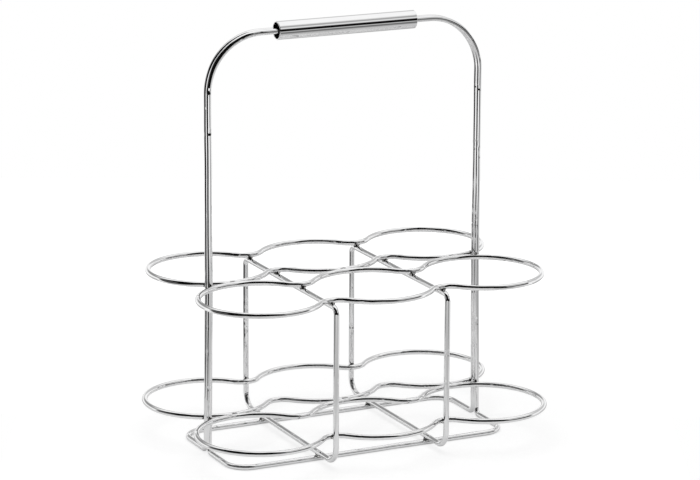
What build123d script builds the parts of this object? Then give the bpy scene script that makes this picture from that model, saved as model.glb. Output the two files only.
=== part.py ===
from build123d import *
import os
from math import atan2, degrees, sqrt

# A wire caddy: two rows of three round places on two levels, two frames across them,
# and a pair of wires side by side that form the handle's arch, its legs and the base.
# X runs along the rows, Y across them, Z up. The origin is the middle of the footprint on the floor.

# Driving sizes
wire_diameter = 4.5
weld_gap = 0.15
place_diameter = 96.5
upper_place_narrowing = 4.0
ring_merge = 3.0
upper_pitch_shortening = 1.0
upper_neck_radius = 15.5
lower_neck_radius = 15.0
lower_level = 28.5
upper_level = 137.5
handle_rise = 200.0
handle_corner_radius = 45.0
leg_bend_radius = 60.0
foot_bend_radius = 6.0
base_corner_radius = 17.5
frame_top_radius = 5.5
frame_bottom_radius = 13.0
grip_end_margin = 13.75
grip_wall = 1.0
grip_rim_rounding = 0.4
bush_length = 12.0
bush_recess = 9.0
bush_least_wall = 1.7
bush_slot_clearance = 0.1
bush_running_clearance = 0.08
weld_radius = 2.6

wire_radius = wire_diameter / 2
wire_spacing = wire_diameter + weld_gap
handle_wire_y = wire_spacing / 2
sides = (-1, 1)
rows = (("front", -1), ("back", 1))
ends = (("left", -1), ("right", 1))


class Level:
    """The sizes of the two ring rows on one level."""

    def __init__(self, name, height, ring_radius, pitch, neck_radius):
        self.name = name
        self.height = height
        self.ring_radius = ring_radius
        self.pitch = pitch
        self.neck_radius = neck_radius
        self.row_y = ring_radius + wire_spacing / 2
        self.neck_x = pitch / 2
        self.neck_reach = sqrt((ring_radius + neck_radius) ** 2 - self.neck_x**2)
        self.outer_neck_y = self.row_y + self.neck_reach - neck_radius
        self.inner_neck_y = 2 * self.row_y - self.outer_neck_y
        # Each leg touches the end ring of its own row
        self.leg_x = pitch + sqrt((ring_radius + wire_spacing) ** 2 - (self.row_y - handle_wire_y) ** 2)


# The upper rings are a little narrower and closer together than the lower ones
lower_ring_radius = place_diameter / 2 + wire_radius
lower_pitch = 2 * lower_ring_radius - ring_merge
lower = Level("lower", lower_level, lower_ring_radius, lower_pitch, lower_neck_radius)
upper = Level(
    "upper",
    upper_level,
    lower_ring_radius - upper_place_narrowing / 2,
    lower_pitch - upper_pitch_shortening,
    upper_neck_radius,
)
levels = (lower, upper)

# The legs lean from the upper end rings to the lower ones, and straight on to the base
leg_lean = (lower.leg_x - upper.leg_x) / (upper_level - lower_level)
foot_x = upper.leg_x + leg_lean * (upper_level - wire_radius)
base_y = lower.row_y
handle_height = upper_level + handle_rise

# The frames stand on the base, carry the upper necks and stand outside the lower ones
frame_x = upper.neck_x
frame_bottom = wire_radius + wire_spacing
frame_top = upper_level - wire_spacing
lower_neck_centre_y = lower.row_y + lower.neck_reach
upright_reach = sqrt((lower_neck_radius - wire_spacing) ** 2 - (lower.neck_x - frame_x) ** 2)
upright_y = lower_neck_centre_y - upright_reach

# The grip turns on two bushes, and each bush has a slot for the pair of wires
grip_length = 2 * (upper.leg_x - handle_corner_radius - grip_end_margin)
bush_slot_width = wire_spacing + wire_diameter + 2 * bush_slot_clearance
bush_slot_height = wire_diameter + 2 * bush_slot_clearance
bush_radius = bush_slot_width / 2 + bush_least_wall
grip_bore_radius = bush_radius + bush_running_clearance
grip_radius = grip_bore_radius + grip_wall

os.makedirs("parts", exist_ok=True)


def finish(piece, name):
    """Names a finished piece and writes it."""
    piece.label = name
    export_step(piece, f"parts/{name}.step")
    return piece


# Ring rows: each is one closed wire of three rings that flow into each other at the necks
ring_rows = []
for level in levels:
    turn = degrees(atan2(level.neck_reach, level.neck_x))
    for row, side in rows:
        middle_y = side * level.row_y
        neck_centre_y = middle_y + level.neck_reach
        with BuildPart() as ring_row:
            with BuildLine(Plane.XY.offset(level.height)) as half_outline:
                CenterArc((level.pitch, middle_y), level.ring_radius, 0, 180 - turn)
                CenterArc((level.neck_x, neck_centre_y), level.neck_radius, -turn, 2 * turn - 180)
                CenterArc((0, middle_y), level.ring_radius, turn, 180 - 2 * turn)
                CenterArc((-level.neck_x, neck_centre_y), level.neck_radius, -turn, 2 * turn - 180)
                CenterArc((-level.pitch, middle_y), level.ring_radius, turn, 180 - turn)
            with BuildSketch(Plane(half_outline.line @ 0, z_dir=half_outline.line % 0)):
                Circle(wire_radius)
            sweep()
            mirror(about=Plane.XZ.offset(-middle_y))
        ring_rows.append(finish(ring_row.part, f"{level.name}_{row}_ring_row"))

# Cross frames: closed rectangles of wire that stand across the rows at the necks
cross_frames = []
for end, side in ends:
    with BuildPart() as cross_frame:
        with BuildLine(Plane.YZ.offset(side * frame_x)) as half_outline:
            FilletPolyline(
                (0, frame_top),
                (upright_y, frame_top),
                (upright_y, frame_bottom),
                (0, frame_bottom),
                radius=(frame_top_radius, frame_bottom_radius),
            )
        with BuildSketch(Plane(half_outline.line @ 0, z_dir=half_outline.line % 0)):
            Circle(wire_radius)
        sweep()
        mirror(about=Plane.XZ)
    cross_frames.append(finish(cross_frame.part, f"{end}_cross_frame"))

# Handle wires: each is one closed wire, half of the twin arch and legs and half of the base
handle_wires = []
for row, side in rows:
    wire_y = side * handle_wire_y
    with BuildPart() as handle_wire:
        with BuildLine() as half_outline:
            FilletPolyline(
                (0, wire_y, handle_height),
                (upper.leg_x, wire_y, handle_height),
                (upper.leg_x, wire_y, upper_level),
                (foot_x, wire_y, wire_radius),
                (foot_x, side * base_y, wire_radius),
                (0, side * base_y, wire_radius),
                radius=(handle_corner_radius, leg_bend_radius, foot_bend_radius, base_corner_radius),
            )
        with BuildSketch(Plane(half_outline.line @ 0, z_dir=half_outline.line % 0)):
            Circle(wire_radius)
        sweep()
        mirror(about=Plane.YZ)
    handle_wires.append(finish(handle_wire.part, f"{row}_handle_wire"))

# Grip: a thin tube that turns about the middle of the twin wires
with BuildPart() as grip_tube:
    with BuildSketch(Plane.YZ.offset(-grip_length / 2)):
        with Locations((0, handle_height)):
            Circle(grip_radius)
            Circle(grip_bore_radius, mode=Mode.SUBTRACT)
    extrude(amount=grip_length)
    rims = grip_tube.edges().filter_by(GeomType.CIRCLE)
    fillet(rims, grip_rim_rounding)
finish(grip_tube.part, "grip_tube")

# Bushes: they sit inside the tube near its ends and keep it centred on the wires
for end, side in ends:
    bush_x = side * (grip_length / 2 - bush_recess - bush_length / 2)
    with BuildPart() as grip_bush:
        with BuildSketch(Plane.YZ.offset(bush_x)):
            with Locations((0, handle_height)):
                Circle(bush_radius)
                SlotOverall(bush_slot_width, bush_slot_height, mode=Mode.SUBTRACT)
        extrude(amount=bush_length / 2, both=True)
    finish(grip_bush.part, f"{end}_grip_bush")


def weld_beads(places, joined):
    """A small ball of weld metal at each place, cut back to the surfaces of the wires that it joins."""
    with BuildPart() as beads:
        with Locations(*places):
            Sphere(weld_radius)
        for wire in joined:
            add(wire, mode=Mode.SUBTRACT)
    return beads.part


# Welds between the front and back rings, where they touch on the middle line
finish(
    weld_beads(
        [(x, 0, level.height) for level in levels for x in (-level.pitch, 0, level.pitch)],
        ring_rows,
    ),
    "row_welds",
)

# Welds that hold the upper necks on the frames' top wires
cross_weld_z = upper_level - wire_spacing / 2
upper_necks_y = (upper.inner_neck_y, upper.outer_neck_y)
finish(
    weld_beads(
        [(x * frame_x, side * y, cross_weld_z) for x in sides for side in sides for y in upper_necks_y],
        ring_rows + cross_frames,
    ),
    "cross_frame_welds",
)

# Welds that hold the lower outer necks against the frames' uprights
upright_share = (lower_neck_radius - wire_spacing / 2) / (lower_neck_radius - wire_spacing)
upright_weld_x = lower.neck_x - (lower.neck_x - frame_x) * upright_share
upright_weld_y = lower_neck_centre_y - upright_reach * upright_share
finish(
    weld_beads(
        [(x * upright_weld_x, y * upright_weld_y, lower_level) for x in sides for y in sides],
        ring_rows + cross_frames,
    ),
    "upright_welds",
)

# Welds that hold the frames' bottom wires on the long sides of the base
finish(
    weld_beads(
        [(x * frame_x, y * base_y, wire_radius + wire_spacing / 2) for x in sides for y in sides],
        cross_frames + handle_wires,
    ),
    "base_welds",
)

# Welds between each leg and the end ring that it touches, at both levels
leg_weld_places = []
for level in levels:
    leg_share = (level.ring_radius + wire_spacing / 2) / (level.ring_radius + wire_spacing)
    leg_weld_x = level.pitch + (level.leg_x - level.pitch) * leg_share
    leg_weld_y = level.row_y - (level.row_y - handle_wire_y) * leg_share
    leg_weld_places += [(x * leg_weld_x, y * leg_weld_y, level.height) for x in sides for y in sides]
finish(weld_beads(leg_weld_places, ring_rows + handle_wires), "leg_welds")
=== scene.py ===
from math import atan2, ceil, cos, degrees, pi, radians, sin, sqrt

import bmesh
import bpy
import numpy as np
from mathutils import Matrix, Vector


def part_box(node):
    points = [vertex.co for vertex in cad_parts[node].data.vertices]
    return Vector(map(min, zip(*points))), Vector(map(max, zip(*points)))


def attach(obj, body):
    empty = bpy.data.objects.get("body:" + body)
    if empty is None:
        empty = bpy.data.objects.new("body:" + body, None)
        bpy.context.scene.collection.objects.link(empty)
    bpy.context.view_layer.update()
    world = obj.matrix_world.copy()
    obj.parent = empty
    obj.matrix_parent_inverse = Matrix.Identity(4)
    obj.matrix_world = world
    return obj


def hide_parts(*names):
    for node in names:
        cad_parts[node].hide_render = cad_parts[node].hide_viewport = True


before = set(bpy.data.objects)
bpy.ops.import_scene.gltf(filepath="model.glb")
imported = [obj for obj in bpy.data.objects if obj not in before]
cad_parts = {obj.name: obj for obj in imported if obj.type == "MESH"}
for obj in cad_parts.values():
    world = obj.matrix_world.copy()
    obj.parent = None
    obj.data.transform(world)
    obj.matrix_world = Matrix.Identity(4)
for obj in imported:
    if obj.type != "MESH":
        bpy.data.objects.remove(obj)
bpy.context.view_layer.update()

# Looks of the wire caddy, in metres and in the frame of its solids.
# X runs along the rows and the grip, Y across the rows, Z up, and the floor is at z = 0.

# Sizes that no node's box gives
wire_radius = 0.00225
wire_spacing = 0.00465
ring_radii = {"lower": 0.0505, "upper": 0.0485}
neck_radii = {"lower": 0.015, "upper": 0.0155}
handle_corner_radius = 0.045
leg_bend_radius = 0.060
foot_bend_radius = 0.006
base_corner_radius = 0.0175
frame_top_radius = 0.0055
frame_bottom_radius = 0.013
grip_wall = 0.001
grip_rim_radius = 0.0004

# How finely the wires are drawn: degrees, metres and sides
arc_step = 3.0
run_step = 0.004
wire_sides = 32

# Slight waves of wire that was straightened and bent: wavelength and height.
# Each comes at three shares of its wavelength, and at a random share of its height.
wire_waves = ((0.110, 0.00006), (0.047, 0.00003), (0.019, 0.000008))
wavelength_shares = (0.8, 1.0, 1.3)
height_shares = (0.4, 1.0)

# A direction that no wire starts along
slant = (0.31, 0.17, 0.93)

tiny = 1e-6

levels = ("lower", "upper")
rows = ("front", "back")
ends = ("left", "right")


# Lines that the wires follow

def arc(centre, radius, start, end):
    """Points of an arc in plan, from start to end in degrees, without its last point."""
    steps = max(2, ceil(abs(end - start) / arc_step))
    angles = np.radians(np.linspace(start, end, steps, endpoint=False))
    return np.column_stack([centre[0] + radius * np.cos(angles), centre[1] + radius * np.sin(angles)])


def ring_row_line(name, ring_radius, neck_radius):
    """The closed line of three rings that flow into each other at the necks."""
    low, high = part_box(name)
    middle_y, height = (low.y + high.y) / 2, (low.z + high.z) / 2
    pitch = high.x - wire_radius - ring_radius
    neck_x = pitch / 2
    reach = sqrt((ring_radius + neck_radius) ** 2 - neck_x**2)
    turn = degrees(atan2(reach, neck_x))
    back = np.concatenate([
        arc((pitch, 0), ring_radius, 0, 180 - turn),
        arc((neck_x, reach), neck_radius, -turn, turn - 180),
        arc((0, 0), ring_radius, turn, 180 - turn),
        arc((-neck_x, reach), neck_radius, -turn, turn - 180),
        arc((-pitch, 0), ring_radius, turn, 180),
        [(-pitch - ring_radius, 0)],
    ])
    front = back[::-1] * (1, -1)
    plan = np.concatenate([back[:-1], front[:-1]])
    return np.column_stack([plan[:, 0], plan[:, 1] + middle_y, np.full(len(plan), height)])


def rounded(corners, radii):
    """The closed line through the corners, each rounded by its own radius."""
    corners = np.array(corners, float)
    befores, afters = np.roll(corners, 1, 0), np.roll(corners, -1, 0)
    made = []
    for before, corner, after, radius in zip(befores, corners, afters, radii):
        inward = (corner - before) / np.linalg.norm(corner - before)
        onward = (after - corner) / np.linalg.norm(after - corner)
        turn = np.arccos(np.clip(inward @ onward, -1, 1))
        aside = onward - (onward @ inward) * inward
        aside /= np.linalg.norm(aside)
        start = corner - inward * radius * np.tan(turn / 2)
        centre = start + aside * radius
        for angle in np.linspace(0, turn, ceil(degrees(turn) / arc_step) + 1):
            made.append(centre + radius * (inward * sin(angle) - aside * cos(angle)))
    return np.array(made)


def filled(line):
    """The closed line with points added on its straight runs."""
    made = []
    for here, there in zip(line, np.roll(line, -1, 0)):
        parts = max(1, ceil(np.linalg.norm(there - here) / run_step))
        made.extend(here + (there - here) * share / parts for share in range(parts))
    return np.array(made)


def travelled(line):
    """How far along the closed line each point is, with the whole length last."""
    return np.concatenate([[0], np.cumsum(np.linalg.norm(np.roll(line, -1, 0) - line, axis=1))])


def wavy(line, name, seed):
    """The closed line with the slight waves of formed wire, kept inside the node's own box."""
    random = np.random.default_rng(seed)
    along = travelled(line)
    for wavelength, height in wire_waves:
        for share in wavelength_shares:
            count = round(along[-1] / (wavelength * share))
            phases = random.uniform(0, 2 * pi, 3)
            heights = height * random.uniform(*height_shares, 3)
            line = line + heights * np.sin(2 * pi * count * along[:-1, None] / along[-1] + phases)
    low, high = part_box(name)
    return np.clip(line, np.array(low) + wire_radius, np.array(high) - wire_radius)


def frame_line(name):
    """The closed rectangle of a cross frame."""
    low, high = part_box(name)
    x = (low.x + high.x) / 2
    reach, bottom, top = high.y - wire_radius, low.z + wire_radius, high.z - wire_radius
    corners = [(x, reach, top), (x, reach, bottom), (x, -reach, bottom), (x, -reach, top)]
    radii = (frame_top_radius, frame_bottom_radius, frame_bottom_radius, frame_top_radius)
    return rounded(corners, radii)


def handle_line(name):
    """The closed line of a handle wire: the arch, the legs and half of the base."""
    low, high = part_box(name)
    foot_x, top, floor = high.x - wire_radius, high.z - wire_radius, low.z + wire_radius
    inner, outer = sorted((low.y + wire_radius, high.y - wire_radius), key=abs)
    # Each leg touches the upper end ring and leans outwards from there
    row_low, row_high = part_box("upper_back_ring_row")
    ring = ring_radii["upper"]
    leg_x = row_high.x - wire_radius - ring + sqrt((ring + wire_spacing) ** 2 - ring**2)
    bend = (row_low.z + row_high.z) / 2
    corners = [(leg_x, inner, top), (leg_x, inner, bend), (foot_x, inner, floor), (foot_x, outer, floor)]
    corners += [(-x, y, z) for x, y, z in corners[::-1]]
    radii = [handle_corner_radius, leg_bend_radius, foot_bend_radius, base_corner_radius]
    return rounded(corners, radii + radii[::-1])


# Meshes

def piece_of(name, points, faces, places, material):
    """A smooth mesh object, with a UV map of how far along and how far round each corner is."""
    mesh = bpy.data.meshes.new(name)
    mesh.from_pydata(points, [], faces)
    mesh.shade_smooth()
    layer = mesh.uv_layers.new(name="Along")
    layer.uv.foreach_set("vector", np.asarray(places, np.float32).ravel())
    mesh.materials.append(material)
    piece = bpy.data.objects.new(name, mesh)
    bpy.context.scene.collection.objects.link(piece)
    return piece


def band_faces(count, sides):
    """Faces and corner places of a skin of count rings of sides points, closed both ways."""
    faces, places = [], []
    for ring in range(count):
        for side in range(sides):
            corners = ((ring, side), (ring + 1, side), (ring + 1, side + 1), (ring, side + 1))
            faces.append([r % count * sides + s % sides for r, s in corners])
            places.append(corners)
    return faces, np.array(places)


def tube(name, line, material):
    """A closed wire along the line. A direction across it is carried along, and the twist is shared out."""
    along = travelled(line)
    tangents = np.roll(line, -1, 0) - np.roll(line, 1, 0)
    tangents /= np.linalg.norm(tangents, axis=1)[:, None]
    across = [np.cross(tangents[0], slant)]
    for tangent in np.concatenate([tangents[1:], tangents[:1]]):
        carried = across[-1] - (across[-1] @ tangent) * tangent
        across.append(carried / np.linalg.norm(carried))
    across[0] /= np.linalg.norm(across[0])
    twist = atan2(across[-1] @ np.cross(tangents[0], across[0]), across[-1] @ across[0])
    across = np.array(across[:-1])
    beside = np.cross(tangents, across)
    turn = -twist * along[:-1, None] / along[-1] + np.linspace(0, 2 * pi, wire_sides, endpoint=False)
    points = (line[:, None] + wire_radius * (
        np.cos(turn)[..., None] * across[:, None] + np.sin(turn)[..., None] * beside[:, None]))
    faces, places = band_faces(len(line), wire_sides)
    corner_places = np.stack([along[places[..., 0]], places[..., 1] / wire_sides], -1)
    return piece_of(name, points.reshape(-1, 3), faces, corner_places, material)


# Nodes of materials

def node(tree, kind, sockets=None, **settings):
    """Adds a node. A socket's value is a number, a colour or another node's output."""
    made = tree.nodes.new(kind)
    for name, value in settings.items():
        setattr(made, name, value)
    for name, value in (sockets or {}).items():
        if isinstance(value, bpy.types.NodeSocket):
            tree.links.new(value, made.inputs[name])
        else:
            made.inputs[name].default_value = value
    return made


def ramp(tree, factor, stops):
    """A colour ramp with stops of position and grey or colour. Returns its colour."""
    made = node(tree, "ShaderNodeValToRGB", {"Fac": factor})
    elements = made.color_ramp.elements
    while len(elements) < len(stops):
        elements.new(0.5)
    for element, (position, colour) in zip(elements, stops):
        element.position = position
        element.color = (colour,) * 3 + (1,) if isinstance(colour, float) else (*colour, 1)
    return made.outputs["Color"]


def math_node(tree, operation, *values):
    """The result of a maths node."""
    return node(tree, "ShaderNodeMath", dict(enumerate(values)), operation=operation).outputs[0]


def vector_node(tree, operation, *values):
    """The number that a vector maths node gives."""
    sockets = dict(enumerate(values))
    return node(tree, "ShaderNodeVectorMath", sockets, operation=operation).outputs["Value"]


def spread(tree, value, low, high, to_low=0.0, to_high=1.0, smooth=True):
    """A value mapped from one range to another, with soft ends where smooth."""
    kind = "SMOOTHSTEP" if smooth else "LINEAR"
    sockets = {"Value": value, "From Min": low, "From Max": high, "To Min": to_low, "To Max": to_high}
    return node(tree, "ShaderNodeMapRange", sockets, interpolation_type=kind).outputs["Result"]


def mixed(tree, factor, first, second):
    """Two colours mixed by a factor."""
    made = node(tree, "ShaderNodeMix", data_type="RGBA")
    for socket, value in ((0, factor), (6, first), (7, second)):
        if isinstance(value, bpy.types.NodeSocket):
            tree.links.new(value, made.inputs[socket])
        else:
            made.inputs[socket].default_value = value
    return made.outputs[2]


def noise(tree, vector, scale, detail=2.0, roughness=0.5):
    """A noise value."""
    sockets = {"Vector": vector, "Scale": scale, "Detail": detail, "Roughness": roughness}
    return node(tree, "ShaderNodeTexNoise", sockets).outputs["Fac"]


def bumped(tree, height, strength, depth, invert=False, **sockets):
    """The surface's normal with the bumps of a height."""
    sockets.update({"Strength": strength, "Distance": depth, "Height": height})
    return node(tree, "ShaderNodeBump", sockets, invert=invert).outputs[0]


def new_material(name):
    """A node material with a Principled shader alone. Returns the material, its tree and the shader."""
    material = bpy.data.materials.new(name)
    material.use_nodes = True
    tree = material.node_tree
    return material, tree, tree.nodes["Principled BSDF"]


# Noises: scale in waves per metre, detail and roughness. The drawn lines are stretched along the wire.
drawn_stretch = (25, 60, 1)
drawn_noise = (1.0, 3.0, 0.6)
ripple_noise = (420.0, 1.0)
smudge_noise = (28.0, 4.0, 0.62)
speck_noise = (900.0, 2.0, 0.7)
dent_noise = (90.0, 1.0)
lump_noise = (620.0, 3.0, 0.6)
grain_noise = (2500.0, 3.0, 0.6)
cloud_noise = (120.0, 2.0)
paper_noise = (300.0, 3.0)

# Bumps: strength and depth in metres
drawn_bump = (0.12, 0.00001)
ripple_bump = (0.12, 0.00002)
wire_dent = (1.0, 0.00018)
grip_dent = (1.0, 0.00002)
lump_bump = (0.6, 0.0002)
grain_bump = (0.35, 0.00005)

# Where wear and dents begin and are full in their noises, and the values there
smudge_wear = (0.45, 0.75)
speck_wear = (0.66, 0.74, 0.0, 0.5)
line_wear = (0.5, 0.8, 0.0, 0.03)
dent_range = (0.6, 0.74)

# Colours by the noises. The chrome's two tones are given where it is made.
chrome_tones = (0.38, 0.62)
# The welds' colours are painted shade, nearly black, and a few painted bright glints
weld_shade_and_glint_paint = ((0.4, (0.02, 0.0195, 0.019)), (0.51, (0.1, 0.098, 0.095)), (0.57, (0.85, 0.84, 0.83)))
plastic_shades = ((0.35, (0.035, 0.035, 0.037)), (0.65, (0.055, 0.055, 0.057)))

# Roughness by the noises: two values of the noise, and the roughness there
weld_roughness = (0.3, 0.7, 0.28, 0.1)
plastic_roughness = (0.3, 0.7, 0.5, 0.68)


def chrome(name, bright, dull, smooth_roughness, smudged_roughness, dent_bump):
    """Bright chrome over drawn steel: faint lines along the wire, plating ripple, smudges and a few dents."""
    material, tree, shader = new_material(name)
    space = node(tree, "ShaderNodeTexCoord").outputs["Object"]
    along = node(tree, "ShaderNodeUVMap", uv_map="Along").outputs["UV"]
    stretch = node(tree, "ShaderNodeMapping", {"Vector": along, "Scale": drawn_stretch})
    lines = noise(tree, stretch.outputs["Vector"], *drawn_noise)
    ripple = noise(tree, space, *ripple_noise)
    smudge = noise(tree, space, *smudge_noise)
    specks = noise(tree, space, *speck_noise)
    cloud = ramp(tree, smudge, list(zip(chrome_tones, (dull, bright))))
    tree.links.new(cloud, shader.inputs["Base Color"])
    worn = math_node(tree, "ADD", spread(tree, smudge, *smudge_wear), spread(tree, specks, *speck_wear))
    rough = spread(tree, worn, 0.0, 1.0, smooth_roughness, smudged_roughness, smooth=False)
    rough = math_node(tree, "ADD", rough, spread(tree, lines, *line_wear))
    tree.links.new(rough, shader.inputs["Roughness"])
    shader.inputs["Metallic"].default_value = 1.0
    drawn = bumped(tree, lines, *drawn_bump)
    plated = bumped(tree, ripple, *ripple_bump, Normal=drawn)
    dents = spread(tree, noise(tree, space, *dent_noise), *dent_range)
    dented = bumped(tree, dents, *dent_bump, invert=True, Normal=plated)
    tree.links.new(dented, shader.inputs["Normal"])
    return material


def painted_shade_weld():
    """Lumpy weld metal whose colour is painted shade, nearly black, with a few painted bright glints."""
    material, tree, shader = new_material("painted_shade_weld")
    space = node(tree, "ShaderNodeTexCoord").outputs["Object"]
    lumps = noise(tree, space, *lump_noise)
    # Its colour is painted shade with painted glints, laid out by the lumps
    tree.links.new(ramp(tree, lumps, weld_shade_and_glint_paint), shader.inputs["Base Color"])
    tree.links.new(spread(tree, lumps, *weld_roughness), shader.inputs["Roughness"])
    shader.inputs["Metallic"].default_value = 1.0
    tree.links.new(bumped(tree, lumps, *lump_bump), shader.inputs["Normal"])
    return material


def bush_plastic():
    """Dark matt moulded plastic with a fine grain."""
    material, tree, shader = new_material("bush_plastic")
    space = node(tree, "ShaderNodeTexCoord").outputs["Object"]
    grain = noise(tree, space, *grain_noise)
    cloud = noise(tree, space, *cloud_noise)
    tree.links.new(ramp(tree, cloud, plastic_shades), shader.inputs["Base Color"])
    tree.links.new(spread(tree, cloud, *plastic_roughness), shader.inputs["Roughness"])
    tree.links.new(bumped(tree, grain, *grain_bump), shader.inputs["Normal"])
    return material


wire_chrome = chrome("wire_chrome", (0.93, 0.93, 0.932), (0.89, 0.89, 0.895), 0.02, 0.07, wire_dent)
grip_chrome = chrome("grip_chrome", (0.94, 0.94, 0.942), (0.90, 0.90, 0.905), 0.012, 0.045, grip_dent)
weld_shade_paint = painted_shade_weld()
bush_black = bush_plastic()

# Wires
wire_lines = {}
for level in levels:
    for row in rows:
        name = f"{level}_{row}_ring_row"
        wire_lines[name] = ring_row_line(name, ring_radii[level], neck_radii[level])
for end in ends:
    wire_lines[f"{end}_cross_frame"] = frame_line(f"{end}_cross_frame")
for row in rows:
    wire_lines[f"{row}_handle_wire"] = handle_line(f"{row}_handle_wire")

wires = {}
for seed, (name, line) in enumerate(wire_lines.items()):
    wires[name] = wavy(filled(line), name, seed)
    piece = tube(f"{name}_chrome", wires[name], wire_chrome)
    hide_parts(name)
    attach(piece, "caddy")


# Welds

# The metal blends the two wires, fades out towards its reach and lies a little inside them
weld_reach = 0.0038
weld_blend = 0.0030
weld_fade = 1.25
weld_sink = 0.00003

# Its lumps: height, and spread of their waves in radians per metre
weld_lump = 0.00018
weld_waves = 2600
first_weld_seed = 21

# How finely its skin is drawn, and how it is found in steps from the centre outwards
weld_subdivisions = 4
skin_steps = 24
skin_step_share = 0.8

# Two wires meet where their gap is this near their least gap, at places at least this far apart
meeting_gap = 0.0008
meeting_distance = 0.010

# How far from a weld's centre the wires are still looked at
near_distance = 0.012


def meeting_places(first, second):
    """The middles of the places where two wires come closest, each place once."""
    gaps = np.linalg.norm(first[:, None] - second[None], axis=2)
    found = []
    near = np.argwhere(gaps < gaps.min() + meeting_gap)
    near = near[np.argsort(gaps[near[:, 0], near[:, 1]])]
    for i, j in near:
        middle = (first[i] + second[j]) / 2
        if all(np.linalg.norm(middle - other) > meeting_distance for other in found):
            found.append(middle)
    return found


def line_distance(points, line, centre):
    """How far each point is from the part of a closed line near the centre."""
    here, there = line, np.roll(line, -1, 0)
    near = np.linalg.norm(here - centre, axis=1) < near_distance
    near |= np.linalg.norm(there - centre, axis=1) < near_distance
    here, run = here[near], (there - here)[near]
    away = points[:, None] - here[None]
    share = np.clip((away * run).sum(2) / (run**2).sum(1), 0, 1)
    return np.linalg.norm(away - share[..., None] * run, axis=2).min(1)


def weld_points(directions, centre, first, second, random):
    """The skin of the metal that fills the valley between two wires, seen from its centre."""
    reach = np.zeros(len(directions))
    waves = random.normal(0, weld_waves, (3, 3))
    phases = random.uniform(0, 2 * pi, 3)
    for _ in range(skin_steps):
        points = centre + directions * reach[:, None]
        gaps = [line_distance(points, line, centre) - wire_radius + weld_sink for line in (first, second)]
        fade = np.clip(weld_fade - (reach / weld_reach) ** 2, 0, 1)
        blend = weld_blend * fade + tiny
        shared = np.clip(1 - abs(gaps[0] - gaps[1]) / blend, 0, 1)
        lumps = weld_lump * np.sin(points @ waves + phases).mean(1) * shared * fade
        skin = np.minimum(*gaps) - shared**2 * blend / 4 - lumps
        reach = np.clip(reach - skin_step_share * skin, 0, weld_reach)
    return centre + directions * reach[:, None]


def weld_piece(name, pairs, seed):
    """All the welds of one node as one mesh."""
    random = np.random.default_rng(seed)
    ball = bmesh.new()
    bmesh.ops.create_icosphere(ball, subdivisions=weld_subdivisions, radius=1.0)
    directions = np.array([v.co[:] for v in ball.verts])
    ball_faces = [[v.index for v in face.verts] for face in ball.faces]
    ball.free()
    points, faces = [], []
    for first, second in pairs:
        for centre in meeting_places(wires[first], wires[second]):
            faces += [[len(points) * len(directions) + i for i in face] for face in ball_faces]
            points.append(weld_points(directions, centre, wires[first], wires[second], random))
    places = np.zeros((sum(map(len, faces)), 2))
    piece = piece_of(f"{name}_chrome", np.concatenate(points), faces, places, weld_shade_paint)
    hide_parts(name)
    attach(piece, "caddy")


ring_rows = {level: [f"{level}_{row}_ring_row" for row in rows] for level in levels}
cross_frames = [f"{end}_cross_frame" for end in ends]
handles = [f"{row}_handle_wire" for row in rows]
welded = {
    "row_welds": [ring_rows[level] for level in levels],
    "cross_frame_welds": [(row, cross) for row in ring_rows["upper"] for cross in cross_frames],
    "upright_welds": [(row, cross) for row in ring_rows["lower"] for cross in cross_frames],
    "base_welds": [(cross, handle) for cross in cross_frames for handle in handles],
    "leg_welds": [pair for level in levels for pair in zip(ring_rows[level], handles)],
}
for seed, (name, pairs) in enumerate(welded.items(), first_weld_seed):
    weld_piece(name, pairs, seed)


# Grip

grip_sides = 96
grip_outer_rings = 64
grip_inner_rings = 32
grip_rim_rings = 7

# Slight unevenness of its outer skin: depth, and waves by radians per metre, turns round the tube and start
grip_ripple = 0.00002
grip_waves = ((95, 2, 0), (61, -3, 1), (190, 1, 2))


def grip_piece():
    """The thin tube with rounded rims, drawn ring by ring from its right rim through its bore and back."""
    low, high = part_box("grip_tube")
    outer = (high.y - low.y) / 2
    inner = outer - grip_wall
    axis_y, axis_z = (low.y + high.y) / 2, (low.z + high.z) / 2
    rims = []
    for end_x, side in ((high.x, 1), (low.x, -1)):
        rim = []
        for middle, start in ((outer - grip_rim_radius, 90), (inner + grip_rim_radius, 0)):
            for angle in np.radians(np.linspace(start, start - 90, grip_rim_rings)):
                x = end_x - side * grip_rim_radius * (1 - cos(angle))
                rim.append((x, middle + grip_rim_radius * sin(angle)))
        rims.append(rim if side > 0 else rim[::-1])
    right_rim, left_rim = rims
    inner_run = np.linspace(right_rim[-1][0], left_rim[0][0], grip_inner_rings)[1:-1]
    outer_run = np.linspace(left_rim[-1][0], right_rim[0][0], grip_outer_rings)[1:-1]
    inner_run = [(x, inner) for x in inner_run]
    outer_run = [(x, outer) for x in outer_run]
    rings = np.array(right_rim + inner_run + left_rim + outer_run)
    angles = np.linspace(0, 2 * pi, grip_sides, endpoint=False)
    x, radius = np.broadcast_arrays(rings[:, :1], rings[:, 1:])
    ripple = sum(np.sin(x * along + around * angles + start) for along, around, start in grip_waves)
    share = (ripple + len(grip_waves)) / (2 * len(grip_waves))
    radius = radius - np.where(radius > outer - tiny, grip_ripple * share, 0)
    y, z = axis_y + radius * np.cos(angles), axis_z + radius * np.sin(angles)
    points = np.stack([x + 0 * angles, y, z], -1)
    faces, places = band_faces(len(rings), grip_sides)
    corner_places = np.stack([rings[places[..., 0] % len(rings), 0], places[..., 1] / grip_sides], -1)
    return piece_of("grip_tube_chrome", points.reshape(-1, 3), faces, corner_places, grip_chrome)


grip = grip_piece()
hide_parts("grip_tube")
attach(grip, "grip")

# Bushes keep their CAD solids
for end in ends:
    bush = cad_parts[f"{end}_grip_bush"]
    bush.data.materials.clear()
    bush.data.materials.append(bush_black)


# Stage

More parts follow.
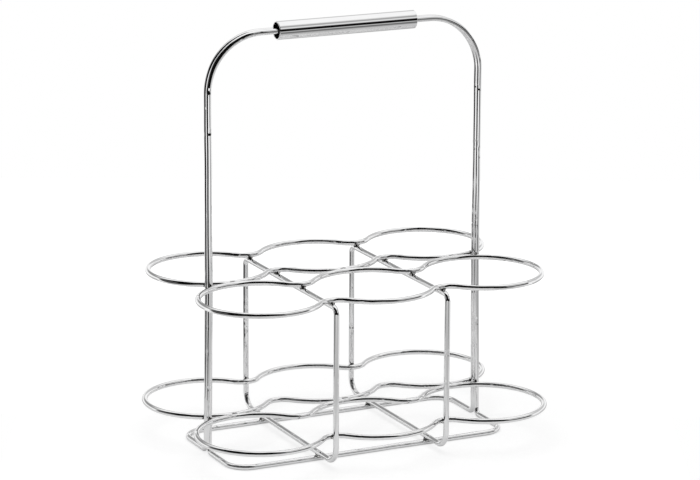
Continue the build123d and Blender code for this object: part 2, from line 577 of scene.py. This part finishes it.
camera_turn = radians(26.0299)
camera_side = Vector((-sin(camera_turn), -cos(camera_turn), 0))
camera_right = Vector((cos(camera_turn), -sin(camera_turn), 0))

white = (1, 1, 1, 1)
black = (0, 0, 0, 1)
plain_grey = (0.35, 0.35, 0.35, 1)

# The floor is a sheet of paper that is narrow beside the caddy and widens in front and behind
paper_front = 1.6
paper_front_half_width = 0.58
paper_waist = 0.27
paper_waist_front = 0.15
paper_waist_back = -0.05
paper_corner = -0.10
paper_back = 0.9
paper_drop = Vector((0, 0, -0.00002))
paper_right = (
    (paper_front_half_width, paper_front),
    (paper_waist, paper_waist_front),
    (paper_waist, paper_waist_back),
    (paper_back, paper_corner),
    (paper_back, -paper_back),
)

# Its greys, and the light and shade that the camera and the chrome see on it: two distances, two values
paper_greys = ((0.3, 0.79), (0.7, 0.81))
seen_light = (0.15, 0.6, 0.75, 1.0)
seen_shade = 0.62
mirrored_light = (0.35, 1.1, 0.1, 0.78)
mirrored_shade = (0.15, 0.32, 0.08, 0.42)


def floor_material():
    """Pale paper. The camera and the chrome see some of it as light that grows outwards."""
    material = bpy.data.materials.new("pale_floor")
    material.use_nodes = True
    tree = material.node_tree
    tree.nodes.clear()
    space = node(tree, "ShaderNodeTexCoord").outputs["Object"]
    distance = vector_node(tree, "LENGTH", space)
    tint = ramp(tree, noise(tree, space, *paper_noise), paper_greys)
    lit = node(tree, "ShaderNodeBsdfDiffuse", {"Color": tint}).outputs[0]
    path = node(tree, "ShaderNodeLightPath").outputs
    seen, mirrored = path["Is Camera Ray"], path["Is Glossy Ray"]
    seen_glow = math_node(tree, "MULTIPLY", seen, spread(tree, distance, *seen_light))
    mirrored_glow = math_node(tree, "MULTIPLY", mirrored, spread(tree, distance, *mirrored_light))
    glow = math_node(tree, "ADD", seen_glow, mirrored_glow)
    light = node(tree, "ShaderNodeEmission", {"Color": white, "Strength": glow}).outputs[0]
    dark = node(tree, "ShaderNodeBsdfDiffuse", {"Color": black}).outputs[0]
    shade = math_node(tree, "MULTIPLY", seen, seen_shade)
    shade = math_node(tree, "MULTIPLY_ADD", mirrored, spread(tree, distance, *mirrored_shade), shade)
    base = node(tree, "ShaderNodeMixShader", {"Fac": shade, 1: lit, 2: dark}).outputs[0]
    total = node(tree, "ShaderNodeAddShader", {0: base, 1: light}).outputs[0]
    node(tree, "ShaderNodeOutputMaterial", {"Surface": total})
    return material


paper_outline = [*paper_right, *[(-aside, ahead) for aside, ahead in paper_right[::-1]]]
floor_points = [camera_right * aside + camera_side * ahead + paper_drop for aside, ahead in paper_outline]
floor_mesh = bpy.data.meshes.new("floor")
floor_mesh.from_pydata(floor_points, [], [range(len(floor_points))])
floor_mesh.materials.append(floor_material())
floor = bpy.data.objects.new("floor", floor_mesh)
bpy.context.scene.collection.objects.link(floor)


# World: white to the camera, a studio to the chrome, plain soft light to the rest

# The studio's sectors as seen from the caddy: light by degrees above the horizon
left_stops = [
    (-38, 0.2), (-26, 0.06), (-18, 0.03), (-8, 0.04), (4, 0.14), (14, 0.1),
    (22, 0.004), (68, 0.004), (76, 1.0),
]
front_stops = [(-38, 0.2), (-26, 0.06), (-18, 0.004), (76, 0.004), (82, 1.0)]
right_low_stops = [(-45, 0.58), (-37, 0.4), (-31, 0.22), (-23, 0.12), (-18, 0.2), (-13, 0.65), (-9, 0.45)]
right_high_stops = [
    (-6, 0.004), (15, 0.004), (20, 0.55), (25, 0.9), (31, 0.7),
    (37, 0.38), (43, 0.36), (50, 0.65), (58, 1.0),
]
far_right_stops = [(-12, 0.6), *right_high_stops]
back_left_stops = [(8, 1.0), (14, 0.8), (20, 0.3), (32, 0.3), (40, 0.7), (50, 1.0)]
back_right_stops = [(14, 1.0), (19, 0.6), (35, 0.6), (46, 1.0)]

# Where one sector passes into the next: degrees to the right of the camera, and a share aside at the back
front_edge = (-60.0, -52.0)
right_edge = (45.0, 51.0)
far_right_edge = (62.0, 66.0)
back_edge = (90.0, 102.0)
back_middle = (-0.2, 0.0)


def sky(tree, elevation, stops):
    """Light by its height in degrees above the horizon."""
    return ramp(tree, elevation, [((degrees_up + 90) / 180, grey) for degrees_up, grey in stops])


def studio_light(tree):
    """The light that comes to the chrome from each direction."""
    direction = node(tree, "ShaderNodeTexCoord").outputs["Generated"]
    height = node(tree, "ShaderNodeSeparateXYZ", {0: direction}).outputs["Z"]
    elevation = spread(tree, math_node(tree, "ARCSINE", height), -pi / 2, pi / 2, smooth=False)
    facing = vector_node(tree, "DOT_PRODUCT", direction, camera_side)
    aside = vector_node(tree, "DOT_PRODUCT", direction, camera_right)
    bearing = math_node(tree, "DEGREES", math_node(tree, "ARCTAN2", aside, facing))
    left = sky(tree, elevation, left_stops)
    front = sky(tree, elevation, front_stops)
    right = sky(tree, elevation, right_low_stops + right_high_stops)
    far_right = sky(tree, elevation, far_right_stops)
    back_left = sky(tree, elevation, back_left_stops)
    back_right = sky(tree, elevation, back_right_stops)
    back = mixed(tree, spread(tree, aside, *back_middle), back_left, back_right)
    light = mixed(tree, spread(tree, bearing, *front_edge), left, front)
    light = mixed(tree, spread(tree, bearing, *right_edge), light, right)
    light = mixed(tree, spread(tree, bearing, *far_right_edge), light, far_right)
    return mixed(tree, spread(tree, math_node(tree, "ABSOLUTE", bearing), *back_edge), light, back)


world = bpy.data.worlds.new("studio")
bpy.context.scene.world = world
world.use_nodes = True
world_tree = world.node_tree
world_tree.nodes.clear()
world_path = node(world_tree, "ShaderNodeLightPath").outputs
unseen = mixed(world_tree, world_path["Is Glossy Ray"], plain_grey, studio_light(world_tree))
backdrop = mixed(world_tree, world_path["Is Camera Ray"], unseen, white)
background = node(world_tree, "ShaderNodeBackground", {"Color": backdrop, "Strength": 1.0}).outputs[0]
node(world_tree, "ShaderNodeOutputWorld", {"Surface": background})

# Lamp: one large soft box overhead
lamp_data = bpy.data.lights.new("soft_box", "AREA")
lamp_data.shape = "SQUARE"
lamp_data.size = 1.2
lamp_data.energy = 11.0
lamp = bpy.data.objects.new("soft_box", lamp_data)
lamp.location = (-0.15, -0.10, 1.25)
lamp.rotation_euler = (0, 0, radians(26.5))
lamp.visible_camera = False
lamp.visible_glossy = False
bpy.context.scene.collection.objects.link(lamp)

# Camera: fitted to the photograph
camera_place = (-1.07837, -2.21783, 0.79175)
camera_drop = radians(14.3102)
camera_roll = radians(0.2698)
camera_data = bpy.data.cameras.new("camera")
camera_data.sensor_width = 36.0
camera_data.lens = 163.48
camera_data.clip_end = 50.0
camera = bpy.data.objects.new("camera", camera_data)
ahead = Vector((sin(camera_turn) * cos(camera_drop), cos(camera_turn) * cos(camera_drop), -sin(camera_drop)))
upward = camera_right.cross(ahead)
right = camera_right * cos(camera_roll) + upward * sin(camera_roll)
over = upward * cos(camera_roll) - camera_right * sin(camera_roll)
camera.matrix_world = Matrix.Translation(camera_place) @ Matrix((right, over, -ahead)).transposed().to_4x4()
bpy.context.scene.collection.objects.link(camera)
bpy.context.scene.camera = camera
bpy.context.scene.view_settings.view_transform = "Standard"
